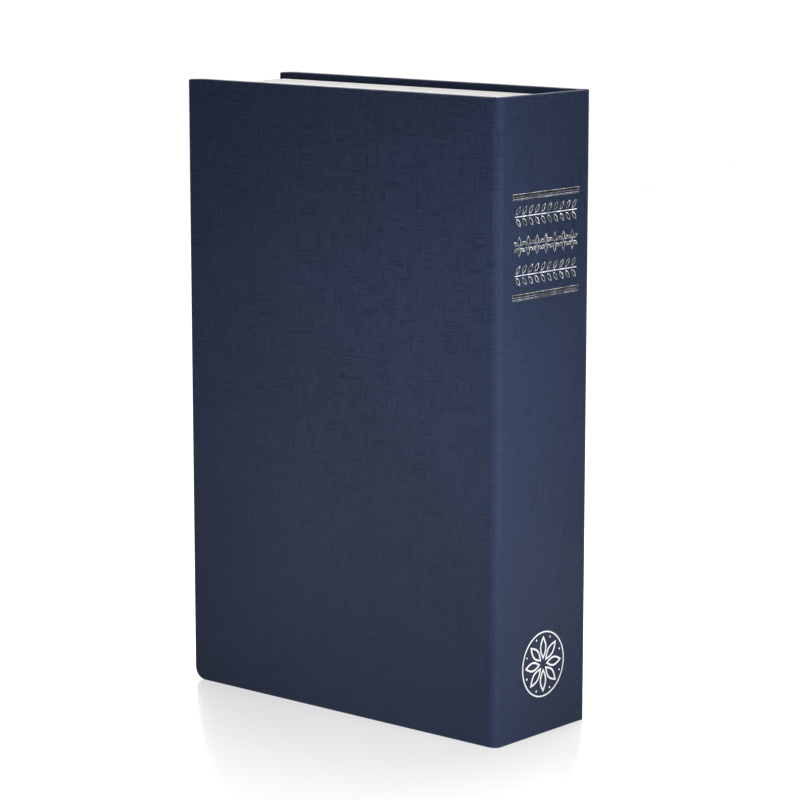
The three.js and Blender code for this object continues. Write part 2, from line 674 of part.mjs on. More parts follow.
function lockPlug() {
  const headTop = GLUE_LINE + LOCK_FACE - PLUG_RECESS;
  const tailEnd = camBackDepth - TAIL_SHORT;
  const body = turned([
    [0, -plugEnd],
    [PLUG_RADIUS, -plugEnd],
    [PLUG_RADIUS, headTop - PLUG_HEAD],
    [plugHead, headTop - PLUG_HEAD],
    [plugHead, headTop],
    [0, headTop],
  ], ROUND);
  const half = TAIL_SQUARE / 2;
  const tail = box([-half, -tailEnd, -half], [half, -plugEnd + CUT_PAST, half]);
  const slotX = WAFER_WIDTH / 2 + RUNNING_GAP;
  const slots = waferDepths.map((depth) => box(
    [-slotX, -depth - waferSlot / 2, -PLUG_RADIUS - CUT_PAST],
    [slotX, -depth + waferSlot / 2, PLUG_RADIUS + CUT_PAST],
  ));
  const keywayZ = PLUG_RADIUS - KEYWAY_WALL;
  const keyway = box(
    [-KEYWAY_WIDTH / 2, -keywayEnd, -keywayZ],
    [KEYWAY_WIDTH / 2, headTop + CUT_PAST, keywayZ],
  );
  const ward = box(
    [0, -keywayEnd, -KEYWAY_WARD_HEIGHT],
    [KEYWAY_WIDTH / 2 + KEYWAY_WARD, headTop + CUT_PAST, 0],
  );
  const screwEnd = camScrewDepth - CAM_SCREW_LENGTH - RUNNING_GAP;
  const thread = barY(screwPilot, 0, 0, -tailEnd - CUT_PAST, -screwEnd);
  return piece('lock_plug', cut(join(body, tail), ...slots, keyway, ward, thread), BRASS);
}

function lockWafer(depth, number) {
  const x = WAFER_WIDTH / 2;
  const y = WAFER_THICKNESS / 2;
  const z = waferHeight / 2;
  const sheet = box([-x, -y, -z], [x, y, z]);
  const window = box(
    [-x + WAFER_SIDE, -y - CUT_PAST, -z + WAFER_BAR],
    [x - WAFER_SIDE, y + CUT_PAST, z - WAFER_BAR],
  );
  const wafer = piece(`lock_wafer_${number}`, cut(sheet, window), BRASS);
  wafer.position.y = -depth;
  return wafer;
}

function lockWasher() {
  const top = -LID_STEEL - GLUE_LINE;
  const geometry = ring(housingHole, housingRadius + LOCK_WASHER_BORDER, top - LOCK_WASHER, top);
  return piece('lock_washer', geometry, PLATED_STEEL);
}

function lockNut() {
  const top = -LID_STEEL - LOCK_WASHER - 2 * GLUE_LINE;
  const hexagon = barY(nutCorner, 0, 0, top - NUT_THICKNESS, top, NUT_SIDES);
  const hole = barY(housingHole, 0, 0, top - NUT_THICKNESS - CUT_PAST, top + CUT_PAST, ROUND);
  return piece('lock_nut', cut(hexagon, hole), PLATED_STEEL);
}

// At rest the cam hangs straight down, which is unlocked
function lockCam() {
  const half = TAIL_SQUARE / 2 + RUNNING_GAP + CAM_BORDER;
  const shape = new THREE.Shape();
  shape.absarc(0, 0, half, 0, Math.PI, false);
  shape.absarc(0, -camReach + half, half, Math.PI, 2 * Math.PI, false);
  const blade = plate(shape, -camFrontDepth, -camBackDepth);
  const hole = TAIL_SQUARE / 2 + RUNNING_GAP;
  const square = box([-hole, -camBackDepth - CUT_PAST, -hole], [hole, -camFrontDepth + CUT_PAST, hole]);
  return piece('lock_cam', cut(blade, square), PLATED_STEEL);
}

function camWasher() {
  const rim = screwHead + CAM_WASHER_BORDER;
  const geometry = ring(screwPilot, rim, -camWasherDepth - CAM_WASHER, -camWasherDepth);
  return piece('cam_washer', geometry, PLATED_STEEL);
}

function camScrew() {
  const screw = piece('cam_screw', slottedScrew(CAM_SCREW_LENGTH), PLATED_STEEL);
  screw.rotation.x = Math.PI;
  screw.position.y = -camScrewDepth;
  return screw;
}

function camLock() {
  const wafers = waferDepths.map((depth, i) => lockWafer(depth, i + 1));
  const fixed = group(lockHousing(), lockWasher(), lockNut());
  const turning = group(lockPlug(), ...wafers, lockCam(), camWasher(), camScrew());
  const lock = group(fixed, turning);
  lock.position.set(lockX, lidFront, trayMiddle);
  return lock;
}

const bookCase = group(
  coverBoard('back_cover_board', -1),
  spineBoard(),
  wrapBackAndSpine(),
  wrapFrontJoint(),
  endpaper('back_endpaper', -1),
);
const frontCover = group(
  coverBoard('front_cover_board', 1),
  wrapFront(),
  endpaper('front_endpaper', 1),
);
const innerBox = group(
  pageFrame(),
  boxTray(),
  strikePlate(),
  ...screwPlaces.map((place, i) => trayFastener(place, i + 1)),
);
const lidAssembly = group(boxLid(), hinge(), camLock());

export default group(bookCase, frontCover, innerBox, lidAssembly);
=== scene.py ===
"""Dresses a book diversion safe: navy book cloth, silver and white stamping, page edges, steel box and lock.

Metres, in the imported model's frame: +Z up the spine, +X towards the spine, +Y towards the front cover.
"""

import json
import math
import random

import bmesh
import bpy
from mathutils import Matrix, Vector


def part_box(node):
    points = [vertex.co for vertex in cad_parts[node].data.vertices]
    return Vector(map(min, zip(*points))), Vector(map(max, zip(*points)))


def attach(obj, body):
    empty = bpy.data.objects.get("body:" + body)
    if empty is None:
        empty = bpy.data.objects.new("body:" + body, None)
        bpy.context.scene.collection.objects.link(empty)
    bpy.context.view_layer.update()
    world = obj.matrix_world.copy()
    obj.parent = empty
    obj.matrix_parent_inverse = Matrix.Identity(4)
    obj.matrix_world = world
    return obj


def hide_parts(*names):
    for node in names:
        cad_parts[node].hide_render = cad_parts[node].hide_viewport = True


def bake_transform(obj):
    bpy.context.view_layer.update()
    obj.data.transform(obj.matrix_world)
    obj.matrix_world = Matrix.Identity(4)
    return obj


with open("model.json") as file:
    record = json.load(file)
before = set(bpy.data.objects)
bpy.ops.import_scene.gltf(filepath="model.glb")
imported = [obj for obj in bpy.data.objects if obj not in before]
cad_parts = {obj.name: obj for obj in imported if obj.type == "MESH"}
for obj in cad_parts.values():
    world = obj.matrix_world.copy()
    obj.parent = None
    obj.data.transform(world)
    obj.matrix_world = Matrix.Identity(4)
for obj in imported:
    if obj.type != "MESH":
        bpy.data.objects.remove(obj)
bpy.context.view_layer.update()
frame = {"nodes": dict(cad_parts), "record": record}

MM = 0.001

# Covering
CLOTH = 0.35 * MM
EDGE_RADIUS = 0.6 * MM
EDGE_STEPS = 5
PAST_EDGE = 2 * EDGE_RADIUS  # an envelope goes on this far beyond the cloth's end at the front joint
TAIL_CORNER_RADIUS = 5 * MM
TAIL_CORNER_STEPS = 10
HEAD_CORNER_DROP = 0.4 * MM  # the head corner of each cover is worn a little lower
HEAD_CORNER_RUN = 10 * MM
HEAD_CORNER_STEPS = 5
SKIN = 0.05 * MM  # the rounded outside lies this far inside the CAD faces
ROUNDED_ABOVE = 50  # degrees between the faces of an edge that is rounded
SKIN_SHARP = 21  # degrees between faces that meet in a sharp edge
STRAP_SHARP = 50
MERGE = 0.002 * MM  # points closer than this are one
FLAT_WITHIN = 0.5  # degrees
CREASES = (9, 37, 77)  # degrees round the joint where the cloth is folded
FLATNESS = 0.62  # 1 gives flat cloth between the creases, 0 a round joint
JOINT_STEPS = 30
STRAP_ROWS = 24
STRAP_END = 0.9  # how far the strap's ends close towards its middle
CUT_PAST = 2 * MM

# Embossing and tone of the covering: cells per metre, and levels of noise
ACROSS_CELLS = (170, 170, 1450)
ALONG_CELLS = (1080, 1080, 150)
PATCH_CELLS = (190, 190, 190)
PATCH_LEVELS = (0.42, 0.58)
STROKE_LEVELS = (0.55, 0.66)
RIDGE_LEVELS = (0.46, 0.36)
GRAIN_CELLS = (3600, 3600, 3600)
GRAIN_SHARE = 0.35  # of the strokes' depth
RIDGE_SHARE = 0.4
EMBOSS_DEPTH = 0.09 * MM
STROKE_SHADE_TINT = 0.40  # how far each colour below is mixed in
RIDGE_HIGHLIGHT_TINT = 0.60
JOINT_HIGHLIGHT_TINT = 0.2
WEAR_AND_HIGHLIGHT_TINT = (0.2, 0.45)
TONE_CELLS = (22, 22, 22)
EMBOSS_SHADE_UP_TO = (40 * MM, 290 * MM)  # the embossing's bump, and the painted shade and highlight in its colour, grow stronger from the tail towards the head
EMBOSS_DEPTH_AND_SHADE = (0.62, 1.34)  # the bump's depth and the painted contrast at the two heights
PAINTED_SHEEN_UP_TO = (20 * MM, 140 * MM)  # painted sheen: the colour is greyer and less blue towards the tail
PAINTED_SHEEN_SHARE = (0.65, 0)
WEAR_AND_HIGHLIGHT_RADIUS = 0.9 * MM
JOINT_HIGHLIGHT_MARGIN = 0.5 * MM  # the folded cloth painted paler as a highlight starts this far inside a joint's edges
NAVY_DARK = (0.0150, 0.0240, 0.0543)
NAVY_LIGHT = (0.0174, 0.0276, 0.0620)
# painted sheen: a greyer, less blue navy mixed in towards the tail
NAVY_PAINTED_SHEEN = (0.0172, 0.0243, 0.0478)
# painted shade: a darker navy in the embossed strokes
NAVY_STROKE_SHADE = (0.0095, 0.0152, 0.0356)
# painted highlight: a paler navy on the embossed ridges
NAVY_RIDGE_HIGHLIGHT = (0.0215, 0.0328, 0.0712)
# edge wear, and painted highlight on the edges and the joints' creases
NAVY_WORN_AND_HIGHLIGHT = (0.034, 0.046, 0.081)
# painted highlight: a paler navy on the folded cloth of the joints
NAVY_JOINT_HIGHLIGHT = (0.0262, 0.0382, 0.0800)

# Page edges
PAGE_PITCH = 0.36 * MM
PAGE_RELIEF = 0.13 * MM
PAGE_SKIN = 0.25 * MM
PAGE_CORNER = 0.6 * MM
PAGE_CORNER_STEPS = 3
PAGE_SHORT = 0.2 * MM  # the skin stops this short of the frame's back
CROWN_DROP = 0.45  # the most that a leaf's edge lies below the highest, as a share of the relief
VALLEY_LEAST = 0.75  # the least depth between leaves, as a share of the relief
CROWN = (0.28, 0.72)  # where a leaf's edge starts and ends, as shares of the pitch

# Stamping on the spine
FOIL = 0.05 * MM
FOIL_RIM = 0.22 * MM
FOIL_RIM_STEPS = (0.4, 0.6)  # the rim's flat top and the slope inside it
FOIL_DISH = 0.035 * MM
STAMP_WIDTH = 39.2 * MM
TOP_RULE = 203.6 * MM
BOTTOM_RULE = 167.0 * MM
RULE_THICK = 1.25 * MM
RULE_THIN = 0.65 * MM
RULE_GAP = 0.5 * MM
ORNAMENT_ROWS = (196.5 * MM, 185.5 * MM, 175.0 * MM)
ORNAMENT_HEIGHT = 7.4 * MM
ORNAMENT_WIDTH = 36.6 * MM
PALMETTES = 7
LAURELS = 10
LAUREL_SLANT = 52  # degrees from the stem
LAUREL_START = 0.75 * MM
LAUREL_WIDTH = 1.7 * MM
STEM_WIDTH = 0.42 * MM
LEAF_OVERLAP = 0.2 * MM
LEAF_WIDTH = 1.7 * MM
SIDE_ANGLES = (32, 148, 212, 328)  # of a palmette's side leaves
SIDE_LENGTH = 0.75  # of its upright leaves' reach
SIDE_START = 0.85 * MM
SIDE_WIDTH = 1.2 * MM
ROSETTE_PLACE = (0.4 * MM, 27.0 * MM)
ROSETTE_RADIUS = 12.6 * MM
ROSETTE_PETALS = 8
PETAL_START = 1.7 * MM
PETAL_WIDTH = 3.9 * MM
DOT_INSET = 2.0 * MM
DOT_SIZE = 0.95 * MM
PRINT_LINE = 0.55 * MM
PETAL_TIP = 2.2 * PRINT_LINE  # the width of a leaf's line at its points
PETAL_SIDE = 1.3 * PRINT_LINE  # and at its middle
PETAL_STEPS = 6
HALF_RING_STEPS = 24

# Softened edges of the CAD nodes that keep their shape, by material slot
SOFTENED = {"black_steel": 0.22 * MM, "page_plastic": 0.18 * MM, "plated_steel": 0.08 * MM,
            "lock_chrome": 0.08 * MM, "lock_brass": 0.06 * MM}
SOFTENED_STEPS = 2
SOFTENED_ABOVE = 40  # degrees

# Camera
CAMERA_AZIMUTH = 40.65
CAMERA_ELEVATION = 9.99
CAMERA_DISTANCE = 1175.7 * MM
CAMERA_ASIDE = 5.5 * MM
CAMERA_UP = -1.54 * MM
CAMERA_LENS = 137.41
CAMERA_SENSOR = 36
CAMERA_CLIP = (0.05, 20)

# Light
WORLD_FILL = 0.05
WORLD_IN_GLOSS = 0.95
WORLD_SEEN = 1.05
FLOOR_GLOW = 0.585
FLOOR_REACH = 6.0

record = frame["record"]
nodes = frame["nodes"]


def corners(node):
    low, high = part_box(node)
    return low.copy(), high.copy()


back_low, back_high = corners("wrap_back_and_spine")
front_low, front_high = corners("wrap_front")
page_low, page_high = corners("page_frame")
height = back_high.z
fore = back_low.x
spine_face = back_high.x
back_face = back_low.y
front_face = front_high.y
joint_x = front_high.x
cover_thickness = front_face - front_low.y
joint_y = back_high.y
on_cover = spine_face - joint_x
on_spine = front_face - joint_y


# Node trees
def start_material(name):
    material = bpy.data.materials.new(name)
    material.use_nodes = True
    material.node_tree.nodes.clear()
    return material, material.node_tree


def add(tree, kind, inputs=(), **settings):
    node = tree.nodes.new("ShaderNode" + kind)
    for key, value in settings.items():
        setattr(node, key, value)
    for key, value in dict(inputs).items():
        if isinstance(value, bpy.types.NodeSocket):
            tree.links.new(value, node.inputs[key])
        else:
            node.inputs[key].default_value = value
    return node


def noise(tree, cells, detail=2.0, offset=0.0):
    """Noise of that many cells per metre along X, Y and Z, from 0 to 1."""
    place = add(tree, "TexCoord").outputs["Object"]
    mapping = add(tree, "Mapping", {"Vector": place, "Scale": cells, "Location": (offset,) * 3})
    texture = add(tree, "TexNoise", {"Vector": mapping.outputs[0], "Scale": 1.0, "Detail": detail})
    return texture.outputs["Fac"]


def levels(tree, value, low, high, to_low=0.0, to_high=1.0):
    """value between low and high, spread softly over to_low to to_high."""
    inputs = {"Value": value, "From Min": low, "From Max": high, "To Min": to_low, "To Max": to_high}
    return add(tree, "MapRange", inputs, interpolation_type="SMOOTHSTEP").outputs["Result"]


def maths(tree, operation, one, other):
    return add(tree, "Math", {0: one, 1: other}, operation=operation).outputs[0]


def mix_color(tree, factor, one, other):
    node = add(tree, "Mix", {"Factor": factor}, data_type="RGBA")
    for socket, value in ((node.inputs[6], one), (node.inputs[7], other)):
        if isinstance(value, bpy.types.NodeSocket):
            tree.links.new(value, socket)
        else:
            socket.default_value = (*value, 1.0)
    return node.outputs[2]


def edge_mask(tree, radius, low=0.006, high=0.04):
    """1 on sharp outer edges and 0 on flat faces."""
    rounded = add(tree, "Bevel", {"Radius": radius}, samples=4).outputs["Normal"]
    flat = add(tree, "NewGeometry").outputs["Normal"]
    product = add(tree, "VectorMath", {0: rounded, 1: flat}, operation="DOT_PRODUCT").outputs["Value"]
    return levels(tree, maths(tree, "SUBTRACT", 1.0, product), low, high)


def finish_material(material, tree, color, roughness, relief, distance, **sockets):
    bump = add(tree, "Bump", {"Height": relief, "Distance": distance, "Strength": 1.0})
    inputs = {"Base Color": color, "Roughness": roughness, "Normal": bump.outputs[0]}
    inputs.update({key.replace("_", " "): value for key, value in sockets.items()})
    shader = add(tree, "BsdfPrincipled", inputs)
    output = add(tree, "OutputMaterial")
    tree.links.new(shader.outputs[0], output.inputs["Surface"])
    return material


def book_cloth():
    """Embossed book cloth: short strokes along and across, in patches, over a fine grain, with painted shade
    in the strokes, painted highlight on the ridges and joints, edge wear mixed with painted highlight, and
    painted sheen towards the tail.
    """
    material, tree = start_material("navy_book_cloth")
    across = noise(tree, ACROSS_CELLS, 1.5)
    along = noise(tree, ALONG_CELLS, 1.5, 7.0)
    patches = levels(tree, noise(tree, PATCH_CELLS, 1.0, 3.0), *PATCH_LEVELS)
    weave = add(tree, "Mix", {"Factor": patches, "A": along, "B": across}).outputs["Result"]
    place = add(tree, "TexCoord").outputs["Object"]
    rise = add(tree, "SeparateXYZ", {"Vector": place}).outputs["Z"]
    # the embossing's bump and the painted shade and highlight in its colour grow stronger towards the head
    emboss_depth_and_shade = levels(tree, rise, *EMBOSS_SHADE_UP_TO, *EMBOSS_DEPTH_AND_SHADE)
    strokes = maths(tree, "MULTIPLY", emboss_depth_and_shade, levels(tree, weave, *STROKE_LEVELS))
    ridges = maths(tree, "MULTIPLY", emboss_depth_and_shade, levels(tree, weave, *RIDGE_LEVELS))
    fine = noise(tree, GRAIN_CELLS, 3.0, 11.0)
    relief = maths(tree, "SUBTRACT", maths(tree, "MULTIPLY", fine, GRAIN_SHARE), strokes)
    relief = maths(tree, "ADD", relief, maths(tree, "MULTIPLY", ridges, RIDGE_SHARE))
    tone = levels(tree, noise(tree, TONE_CELLS, 3.0, 5.0), 0.3, 0.7)
    plain = mix_color(tree, tone, NAVY_DARK, NAVY_LIGHT)
    # painted sheen: greyer and less blue towards the tail
    painted_sheen = levels(tree, rise, *PAINTED_SHEEN_UP_TO, *PAINTED_SHEEN_SHARE)
    plain = mix_color(tree, painted_sheen, plain, NAVY_PAINTED_SHEEN)
    # painted shade in the strokes and painted highlight on the ridges
    stroke_shade_color = mix_color(tree, maths(tree, "MULTIPLY", strokes, STROKE_SHADE_TINT), plain, NAVY_STROKE_SHADE)
    ridge_highlight_color = mix_color(tree, maths(tree, "MULTIPLY", ridges, RIDGE_HIGHLIGHT_TINT), stroke_shade_color, NAVY_RIDGE_HIGHLIGHT)
    # edge wear mixed with painted highlight on the edges and creases
    wear_and_highlight = maths(tree, "MULTIPLY", edge_mask(tree, WEAR_AND_HIGHLIGHT_RADIUS), levels(tree, fine, 0.3, 0.6, *WEAR_AND_HIGHLIGHT_TINT))
    color = mix_color(tree, wear_and_highlight, ridge_highlight_color, NAVY_WORN_AND_HIGHLIGHT)
    # painted highlight on the joints' folded cloth
    joint_highlight = add(tree, "Attribute", attribute_name="joint_highlight").outputs["Fac"]
    color = mix_color(tree, maths(tree, "MULTIPLY", joint_highlight, JOINT_HIGHLIGHT_TINT), color, NAVY_JOINT_HIGHLIGHT)
    roughness = levels(tree, fine, 0.3, 0.7, 0.46, 0.56)
    roughness = maths(tree, "ADD", roughness, maths(tree, "MULTIPLY", strokes, 0.06))
    return finish_material(material, tree, color, roughness, relief, EMBOSS_DEPTH, Specular_IOR_Level=0.06)


def mottled(name, dark, light, cells, roughness, grain, depth, wear=None, wear_radius=0.4 * MM, **sockets):
    """A surface whose tone and roughness vary in cells per metre, with a grain of that depth."""
    material, tree = start_material(name)
    tone = noise(tree, cells, 4.0, 2.0)
    fine = noise(tree, grain, 3.0, 9.0)
    color = mix_color(tree, levels(tree, tone, 0.3, 0.7), dark, light)
    if wear:
        patchy = levels(tree, fine, 0.25, 0.6, 0.2, 0.8)
        color = mix_color(tree, maths(tree, "MULTIPLY", edge_mask(tree, wear_radius), patchy), color, wear)
    blend = maths(tree, "MULTIPLY", maths(tree, "ADD", tone, fine), 0.5)
    rough = levels(tree, blend, 0.3, 0.7, *roughness)
    return finish_material(material, tree, color, rough, fine, depth, **sockets)


def page_material():
    """Paper edges: fine stripes from page to page, with faint stains."""
    material, tree = start_material("page_edges")
    stripes = noise(tree, (3, 2400, 3), 2.0, 4.0)
    fibres = noise(tree, (900, 2400, 900), 3.0, 6.0)
    stains = noise(tree, (30, 30, 30), 3.0, 1.0)
    striped = mix_color(tree, levels(tree, stripes, 0.25, 0.7), (0.76, 0.76, 0.77), (0.95, 0.95, 0.94))
    color = mix_color(tree, levels(tree, stains, 0.45, 0.75, 0.0, 0.3), striped, (0.90, 0.87, 0.79))
    roughness = levels(tree, fibres, 0.3, 0.7, 0.55, 0.75)
    relief = maths(tree, "ADD", stripes, maths(tree, "MULTIPLY", fibres, 0.4))
    return finish_material(material, tree, color, roughness, relief, 0.05 * MM, Specular_IOR_Level=0.3)


materials = {
    "navy_covering": book_cloth(),
    "pages": page_material(),
    "grey_board": mottled("grey_board", (0.20, 0.18, 0.15), (0.33, 0.30, 0.25), (300, 300, 300),
                          (0.8, 0.95), (2600, 2600, 2600), 0.06 * MM, Specular_IOR_Level=0.2),
    "endpaper": mottled("endpaper", (0.83, 0.81, 0.75), (0.88, 0.865, 0.81), (35, 35, 35),
                        (0.7, 0.85), (2200, 2200, 2200), 0.03 * MM, Specular_IOR_Level=0.25),
    "page_plastic": mottled("page_plastic", (0.855, 0.85, 0.82), (0.885, 0.88, 0.85), (40, 40, 40),
                            (0.38, 0.55), (1800, 1800, 1800), 0.02 * MM, wear=(0.93, 0.93, 0.91)),
    "black_steel": mottled("black_steel", (0.010, 0.010, 0.011), (0.018, 0.018, 0.019), (70, 70, 70),
                           (0.32, 0.5), (1500, 1500, 1500), 0.05 * MM, wear=(0.06, 0.06, 0.06),
                           wear_radius=0.25 * MM, Coat_Weight=0.15, Coat_Roughness=0.3),
    "plated_steel": mottled("plated_steel", (0.50, 0.51, 0.53), (0.66, 0.665, 0.67), (140, 900, 140),
                            (0.24, 0.42), (500, 4000, 500), 0.008 * MM, wear=(0.78, 0.78, 0.77),
                            wear_radius=0.15 * MM, Metallic=1.0),
    "lock_chrome": mottled("lock_chrome", (0.70, 0.71, 0.73), (0.79, 0.80, 0.81), (200, 200, 200),
                           (0.08, 0.2), (1500, 1500, 1500), 0.003 * MM, wear=(0.86, 0.86, 0.86),
                           wear_radius=0.15 * MM, Metallic=1.0),
    "lock_brass": mottled("lock_brass", (0.52, 0.36, 0.12), (0.68, 0.49, 0.19), (260, 260, 260),
                          (0.22, 0.4), (2500, 2500, 2500), 0.006 * MM, wear=(0.80, 0.62, 0.30),
                          wear_radius=0.15 * MM, Metallic=1.0),
    "silver_foil": mottled("silver_foil", (0.19, 0.20, 0.215), (0.70, 0.72, 0.75), (420, 420, 420),
                           (0.16, 0.34), (1600, 1600, 1600), 0.05 * MM, Metallic=1.0),
    # a darker copy of the silver foil for the rules: painted darker reflection
    "rule_foil_painted_darker": mottled("rule_foil_painted_darker", (0.07, 0.075, 0.08), (0.30, 0.31, 0.33), (420, 420, 420),
                         (0.16, 0.34), (1600, 1600, 1600), 0.05 * MM, Metallic=1.0),
    # near-black metal for the stamps' dished floors: painted dark reflection
    "foil_painted_dark_reflection": mottled("foil_painted_dark_reflection", (0.003, 0.0035, 0.005), (0.030, 0.031, 0.034), (160, 160, 700),
                          (0.2, 0.4), (1600, 1600, 1600), 0.05 * MM, Metallic=1.0),
    "white_print": mottled("white_print", (0.74, 0.75, 0.76), (0.90, 0.90, 0.90), (900, 900, 900),
                           (0.4, 0.55), (2600, 2600, 2600), 0.03 * MM, Specular_IOR_Level=0.4),
}


# Meshes
def link(obj):
    bpy.context.scene.collection.objects.link(obj)
    return obj


def to_object(name, form, *surfaces):
    """A bmesh as an object with outward normals."""
    bmesh.ops.recalc_face_normals(form, faces=form.faces)
    mesh = bpy.data.meshes.new(name)
    form.to_mesh(mesh)
    form.free()
    for surface in surfaces:
        mesh.materials.append(materials[surface])
    return link(bpy.data.objects.new(name, mesh))


def smooth(obj, angle):
    """Smooth shading that keeps flat faces flat and sharp edges sharp."""
    mesh = obj.data
    mesh.polygons.foreach_set("use_smooth", [True] * len(mesh.polygons))
    mesh.set_sharp_from_angle(angle=math.radians(angle))
    modifier = obj.modifiers.new("even_normals", "WEIGHTED_NORMAL")
    modifier.keep_sharp = True


def apply_modifiers(obj):
    graph = bpy.context.evaluated_depsgraph_get()
    mesh = bpy.data.meshes.new_from_object(obj.evaluated_get(graph))
    obj.modifiers.clear()
    obj.data = mesh


def prism(points, low, high, axis=2):
    """A closed outline, extruded along one axis. points give the other two coordinates in order."""
    form = bmesh.new()

    def vertex(point, along):
        place = list(point)
        place.insert(axis, along)
        return form.verts.new(place)

    rings = [[vertex(point, along) for point in points] for along in (low, high)]
    form.faces.new(rings[0])
    form.faces.new(rings[1])
    count = len(points)
    for i in range(count):
        j = (i + 1) % count
        form.faces.new((rings[0][i], rings[0][j], rings[1][j], rings[1][i]))
    bmesh.ops.recalc_face_normals(form, faces=form.faces)
    return form


def round_edges(form, radius, steps):
    """Rounds the edges that turn by more than ROUNDED_ABOVE."""
    limit = math.radians(ROUNDED_ABOVE)
    edges = [e for e in form.edges if e.is_manifold and e.calc_face_angle(0) > limit]
    bmesh.ops.bevel(form, geom=edges, offset=radius, offset_type="OFFSET", segments=steps, profile=0.5,
                    affect="EDGES", clamp_overlap=False)


def boolean(name, base, tool, operation):
    """Applies a boolean between two objects and removes the tool."""
    modifier = base.modifiers.new(operation, "BOOLEAN")
    modifier.operation = operation
    modifier.solver = "EXACT"
    modifier.object = tool
    apply_modifiers(base)
    bpy.data.objects.remove(tool)
    base.name = name
    return base


def node_copy(node):
    """A new object with a merged copy of a CAD node's mesh."""
    form = bmesh.new()
    form.from_mesh(nodes[node].data)
    bmesh.ops.remove_doubles(form, verts=form.verts, dist=MERGE)
    return to_object(node + "_copy", form)


def joint_profile(side, drop):
    """The cloth's line round a joint, from the cover to the spine, flatter between its creases.

    side is 1 at the front and -1 at the back, and drop is the depth below the outer face.
    """
    points = []
    for i in range(JOINT_STEPS + 1):
        degrees = 90 * i / JOINT_STEPS
        turn = math.radians(degrees)
        reach = 1.0
        for first, last in zip(CREASES, CREASES[1:]):
            if first < degrees < last:
                middle = (first + last) / 2
                chord = math.cos(math.radians(last - middle)) / math.cos(math.radians(degrees - middle))
                reach = 1 + FLATNESS * (chord - 1)
        x = joint_x + (on_cover - drop) * reach * math.sin(turn)
        y = side * (front_face - on_spine + (on_spine - drop) * reach * math.cos(turn))
        points.append((x, y))
    return points


def cover_outline():
    """A cover's outline in X and Z, with its soft tail corner and worn head corner."""
    left = fore + SKIN
    low = SKIN
    high = height - SKIN
    radius = TAIL_CORNER_RADIUS - SKIN
    points = [(spine_face + CUT_PAST, high), (spine_face + CUT_PAST, low)]
    for i in range(TAIL_CORNER_STEPS + 1):
        turn = math.radians(90 * i / TAIL_CORNER_STEPS)
        points.append((left + radius - radius * math.sin(turn), low + radius - radius * math.cos(turn)))
    for i in range(HEAD_CORNER_STEPS + 1):
        share = i / HEAD_CORNER_STEPS
        points.append((left + HEAD_CORNER_RUN * share, high - HEAD_CORNER_DROP * (1 - share) ** 2))
    return points


def envelope(name, section):
    """The rounded outside of a covering: the cover's outline through a section in X and Y."""
    block = to_object(name, prism(section, -CUT_PAST, height + CUT_PAST))
    slab = prism(cover_outline(), back_face - CUT_PAST, front_face + CUT_PAST, axis=1)
    plate = to_object(name + "_plate", slab)
    boolean(name, block, plate, "INTERSECT")
    form = bmesh.new()
    form.from_mesh(block.data)
    bmesh.ops.remove_doubles(form, verts=form.verts, dist=MERGE)
    bmesh.ops.dissolve_limit(form, angle_limit=math.radians(FLAT_WITHIN), verts=form.verts, edges=form.edges)
    round_edges(form, EDGE_RADIUS, EDGE_STEPS)
    bpy.data.objects.remove(block)
    return to_object(name, form)


def mark_joint_highlight(cloth):
    """Marks the points in the front and back joints, where the folded cloth is painted a little paler as a
    highlight.
    """
    marks = cloth.data.attributes.new("joint_highlight", "FLOAT", "POINT")
    for vertex, mark in zip(cloth.data.vertices, marks.data):
        in_cover = vertex.co.x > joint_x + JOINT_HIGHLIGHT_MARGIN
        in_spine = abs(vertex.co.y) > front_face - on_spine + JOINT_HIGHLIGHT_MARGIN
        mark.value = float(in_cover and in_spine)


def covering(name, node, section, body):
    """Book cloth in the CAD node's shape, with rounded outer edges."""
    skin = boolean(name, node_copy(node), envelope(name + "_outside", section), "INTERSECT")
    skin.data.materials.clear()
    skin.data.materials.append(materials["navy_covering"])
    smooth(skin, SKIN_SHARP)
    mark_joint_highlight(skin)
    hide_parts(node)
    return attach(skin, body)


def back_covering():
    past = joint_y + PAST_EDGE
    inner = spine_face - cover_thickness + SKIN
    section = [
        (fore - CUT_PAST, back_face + SKIN),
        *joint_profile(-1, SKIN),
        (spine_face - SKIN, past),
        (inner, past),
        (inner, back_face + cover_thickness - SKIN),
        (fore - CUT_PAST, back_face + cover_thickness - SKIN),
    ]
    return covering("cloth_back_and_spine", "wrap_back_and_spine", section, "book_body")


def front_covering():
    past = joint_x + PAST_EDGE
    section = [
        (fore - CUT_PAST, front_face - SKIN),
        (past, front_face - SKIN),
        (past, front_face - cover_thickness + SKIN),
        (fore - CUT_PAST, front_face - cover_thickness + SKIN),
    ]
    return covering("cloth_front", "wrap_front", section, "front_cover")


